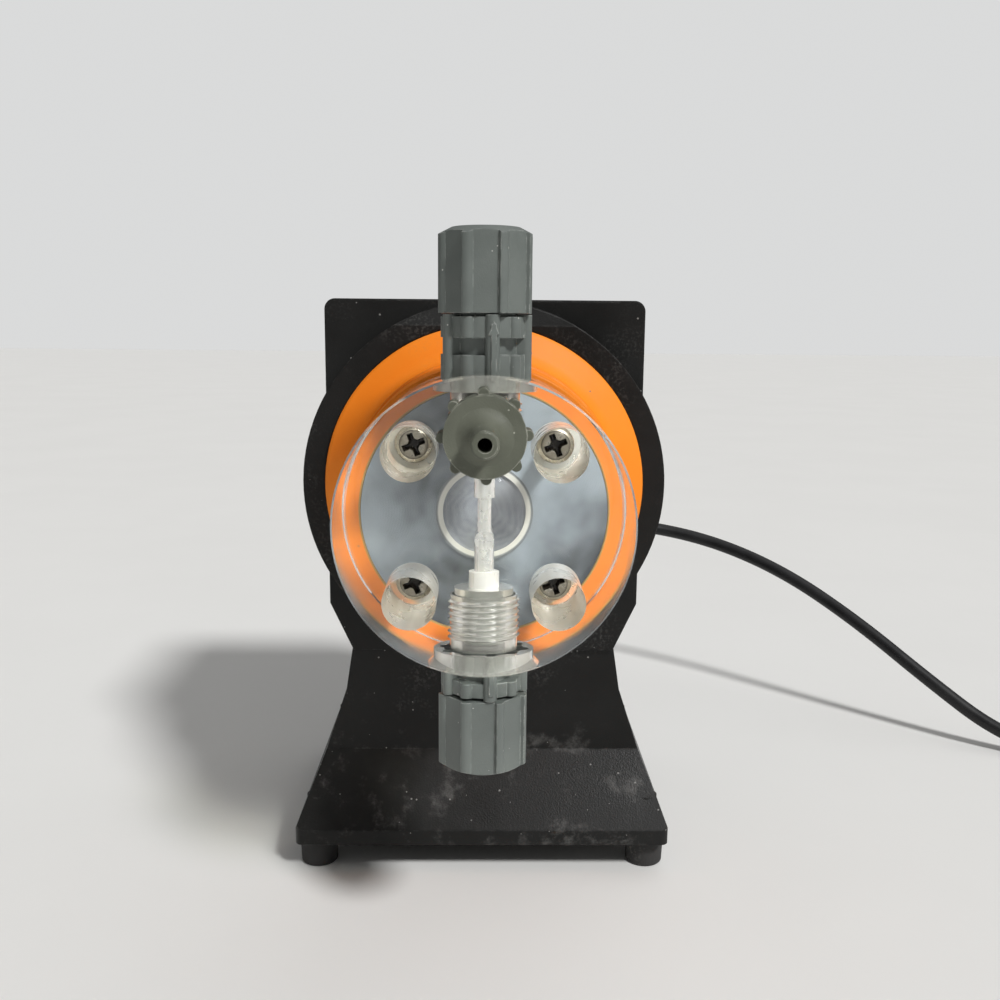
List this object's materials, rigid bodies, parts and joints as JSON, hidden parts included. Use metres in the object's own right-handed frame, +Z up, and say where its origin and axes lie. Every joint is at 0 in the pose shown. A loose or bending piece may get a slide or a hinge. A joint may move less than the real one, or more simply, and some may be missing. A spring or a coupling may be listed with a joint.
{
  "type": "diaphragm metering pump",
  "caption": "Solenoid diaphragm metering pump: clear round pump head with vertical hose unions, orange adapter ring and a black pedestal housing with a rear control panel.",
  "frame": {"origin": "on the floor under the middle of the pump's bounding box, mains lead left out", "axes": "+X to the right seen from the liquid end, +Y along the pump axis from the liquid end to the control panel, +Z up along the port axis"},
  "size_m": [0.4747, 0.3479, 0.2416],
  "materials": {
    "clear_plastic": "clear cast acrylic, satin on the front face",
    "orange_plastic": "moulded, satin",
    "black_plastic": "moulded, fine texture",
    "grey_plastic": "turned and moulded PVC",
    "olive_plastic": "moulded, satin",
    "white_plastic": "low-friction plastic",
    "ceramic": "polished ceramic",
    "seal_rubber": "elastomer",
    "foot_rubber": "moulded rubber",
    "steel": "stainless steel",
    "plated_steel": "bright zinc plated",
    "soft_iron": "turned magnetic steel",
    "copper": "enamelled copper winding",
    "brass": "turned brass",
    "plate_metal": "turned disc",
    "board": "coated circuit board",
    "lens": "coloured lens",
    "cord_rubber": "smooth rubber sheath"
  },
  "bodies": {
    "pump": {"adapter_screws": "plated_steel", "base_plate": "black_plastic", "bleed_valve_insert": "grey_plastic", "cable_gland": "black_plastic", "chamber_seal_ring": "white_plastic", "coil_bobbin": "white_plastic", "coil_winding": "copper", "control_board": "board", "cover_gasket": "seal_rubber", "cover_screws": "plated_steel", "diaphragm": "white_plastic", "discharge_ball_seat": "grey_plastic", "discharge_clamp_ring": "grey_plastic", "discharge_hose_insert": "grey_plastic", "discharge_port_seal": "seal_rubber", "discharge_valve_body": "grey_plastic", "end_plate": "soft_iron", "foot_screws": "plated_steel", "gland_nut": "black_plastic", "head_adapter": "orange_plastic", "head_screws": "plated_steel", "led_lenses": "lens", "main_housing": "black_plastic", "mains_cord": "cord_rubber", "mains_cord_coil": "cord_rubber", "mains_plug": "cord_rubber", "mains_plug_pins": "plated_steel", "power_switch": "black_plastic", "pump_head": "clear_plastic", "rate_potentiometer": "plated_steel", "rear_cover": "black_plastic", "return_spring": "steel", "rod_bush": "brass", "rubber_feet": "foot_rubber", "signal_socket": "plated_steel", "signal_socket_cap": "black_plastic", "solenoid_pot": "soft_iron", "strain_relief": "cord_rubber", "suction_ball_seat": "grey_plastic", "suction_clamp_ring": "grey_plastic", "suction_hose_insert": "grey_plastic", "suction_port_seal": "seal_rubber", "suction_valve_body": "grey_plastic", "support_plate": "plate_metal"},
    "plunger": {"push_rod": "steel", "armature": "soft_iron"},
    "stroke_dial": {"stroke_knob": "olive_plastic", "stroke_spindle": "steel"},
    "stop_pin": {"stroke_stop": "steel"},
    "rate_dial": {"rate_knob": "olive_plastic"},
    "mains_rocker": {"power_rocker": "black_plastic"},
    "bleed_screw": {"bleed_knob": "olive_plastic"},
    "discharge_nut": {"discharge_union_nut": "grey_plastic"},
    "suction_nut": {"suction_union_nut": "grey_plastic"},
    "discharge_check_ball": {"discharge_ball": "ceramic"},
    "suction_check_ball": {"suction_ball": "ceramic"}
  },
  "joints": [
    {"name": "plunger_stroke", "type": "slide", "parent": "pump", "child": "plunger", "axis": [0, -1, 0], "range_m": [0, 0.00125], "stiffness_N_per_m": 4000, "springref_m": -0.001, "deforming": ["return_spring", "diaphragm"]},
    {"name": "stroke_dial_turn", "type": "hinge", "parent": "pump", "child": "stroke_dial", "pos_m": [0, 0.118, 0.154], "axis": [0, 1, 0], "range_deg": [-270, 0]},
    {"name": "stop_pin_travel", "type": "slide", "parent": "pump", "child": "stop_pin", "axis": [0, 1, 0], "range_m": [-0.00125, 0]},
    {"name": "rate_dial_turn", "type": "hinge", "parent": "pump", "child": "rate_dial", "pos_m": [-0.027, 0.115, 0.192], "axis": [0, 1, 0], "range_deg": [0, 270]},
    {"name": "mains_rocker_tilt", "type": "hinge", "parent": "pump", "child": "mains_rocker", "pos_m": [-0.035, 0.108, 0.123], "axis": [1, 0, 0], "range_deg": [0, 18]},
    {"name": "bleed_screw_turn", "type": "hinge", "parent": "pump", "child": "bleed_screw", "pos_m": [0, -0.1, 0.1825], "axis": [0, 1, 0], "range_deg": [0, 180]},
    {"name": "discharge_nut_turn", "type": "hinge", "parent": "pump", "child": "discharge_nut", "pos_m": [0, -0.073, 0.224], "axis": [0, 0, 1], "continuous": true},
    {"name": "suction_nut_turn", "type": "hinge", "parent": "pump", "child": "suction_nut", "pos_m": [0, -0.073, 0.089], "axis": [0, 0, 1], "continuous": true},
    {"name": "discharge_ball_lift", "type": "slide", "parent": "pump", "child": "discharge_check_ball", "axis": [0, 0, 1], "range_m": [0, 0.0015]},
    {"name": "suction_ball_lift", "type": "slide", "parent": "pump", "child": "suction_check_ball", "axis": [0, 0, 1], "range_m": [0, 0.0015]}
  ],
  "couplings": [
    {"joint": "stop_pin_travel", "follows": "stroke_dial_turn", "m_per_rad": 0.00026526}
  ]
}
